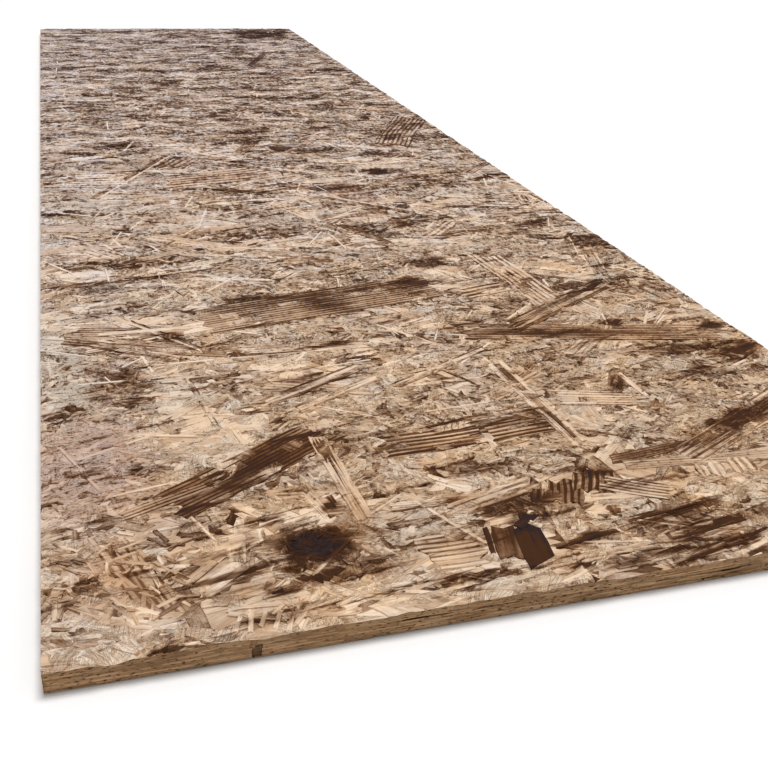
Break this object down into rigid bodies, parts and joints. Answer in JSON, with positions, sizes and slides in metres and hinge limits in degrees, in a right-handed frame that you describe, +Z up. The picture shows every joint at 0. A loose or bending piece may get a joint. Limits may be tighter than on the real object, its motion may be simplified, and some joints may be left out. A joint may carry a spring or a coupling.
{
  "type": "charred osb panel",
  "caption": "Long flat panel of oriented strand board with a torched and brushed face, for cladding, furniture and display.",
  "frame": {"origin": "middle of the underside, on the floor", "axes": "+X across the panel, +Y along its length, +Z up and out of the charred face"},
  "size_m": [0.61, 2.44, 0.015],
  "materials": {
    "charred_osb": "torched, brushed and matt, with bare sawn edges"
  },
  "bodies": {
    "root": {"panel": "charred_osb"}
  },
  "joints": []
}
